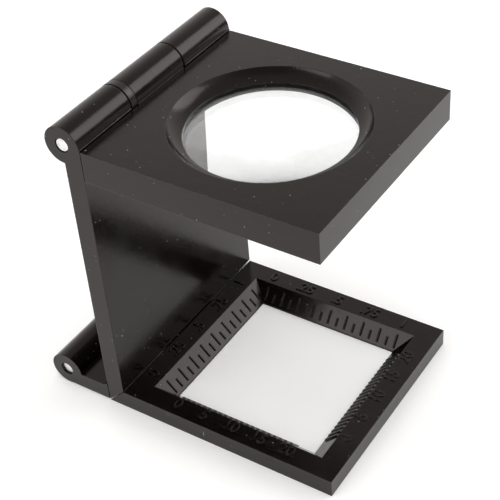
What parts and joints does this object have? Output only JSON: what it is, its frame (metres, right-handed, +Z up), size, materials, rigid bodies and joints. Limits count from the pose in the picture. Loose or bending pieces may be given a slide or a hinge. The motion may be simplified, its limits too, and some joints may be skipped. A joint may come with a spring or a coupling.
{
  "type": "folding linen tester magnifier",
  "caption": "Folding stand magnifier: lens plate, upright back plate and base frame with a bevelled measuring window, joined by two barrel hinges.",
  "frame": {"origin": "point on the base frame's flat underside, straight below the upright's inner face, in the middle of the width; it is the mount table_rest", "axes": "+X from the upright towards the lens and the window, +Y along both hinge axes, +Z up"},
  "size_m": [0.0528, 0.0374, 0.053],
  "materials": {
    "black_plastic": "semi-gloss moulded",
    "ring_plastic": "matt moulded",
    "washer_plastic": "semi-gloss moulded",
    "pin_steel": "bright drawn wire",
    "lens_glass": "polished"
  },
  "bodies": {
    "base": {"base_frame": "black_plastic", "lower_hinge_washer": "washer_plastic"},
    "upright": {"back_plate": "black_plastic", "upper_hinge_pin": "pin_steel", "lower_hinge_pin": "pin_steel"},
    "lens_holder": {"lens_plate": "black_plastic", "lens": "lens_glass", "lens_retaining_ring": "ring_plastic", "upper_hinge_washer": "washer_plastic"}
  },
  "joints": [
    {"name": "lower_hinge", "type": "hinge", "parent": "base", "child": "upright", "pos_m": [-0.0115, 0, 0.003], "axis": [0, -1, 0], "range_deg": [0, 270]},
    {"name": "upper_hinge", "type": "hinge", "parent": "upright", "child": "lens_holder", "pos_m": [-0.0031, 0, 0.05], "axis": [0, -1, 0], "range_deg": [0, 270]}
  ]
}
